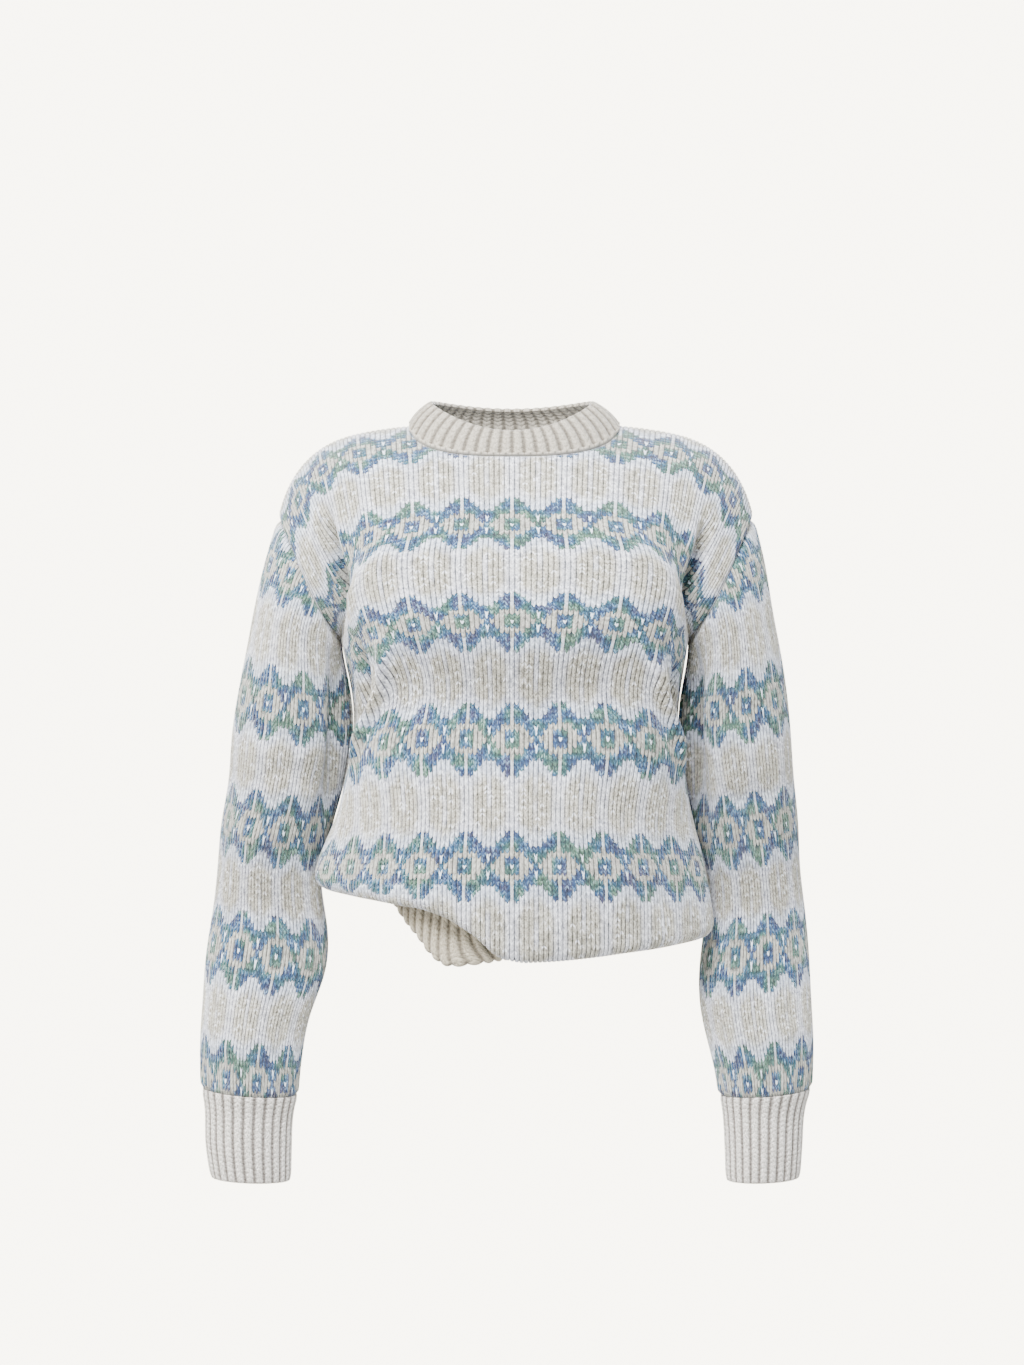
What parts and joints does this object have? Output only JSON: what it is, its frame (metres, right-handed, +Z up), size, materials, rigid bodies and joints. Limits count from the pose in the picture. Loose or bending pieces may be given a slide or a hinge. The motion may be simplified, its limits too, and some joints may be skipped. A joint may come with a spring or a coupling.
{
  "type": "fair isle jumper",
  "caption": "Drop-shoulder crew-neck jumper with bands of patterned knit, ribbed neck, cuffs and hem, worn bloused with its front hem half turned under",
  "frame": {"origin": "the middle of the neck opening at the height of the shoulders, where the wearer holds the garment up", "axes": "+X to the wearer's left, -Y to the front, +Z up"},
  "size_m": [0.5525, 0.2657, 0.706],
  "materials": {
    "fair_isle_knit": "soft stocking-stitch knit in pale marl wool with variegated blue and green motifs",
    "rib_knit": "soft one-and-one rib knit in pale warm marl wool"
  },
  "bodies": {
    "root": {"front": "fair_isle_knit", "back": "fair_isle_knit", "sleeve_right": "fair_isle_knit", "sleeve_left": "fair_isle_knit", "neckband": "rib_knit", "hem_band": "rib_knit", "cuff_right": "rib_knit", "cuff_left": "rib_knit"}
  },
  "joints": []
}
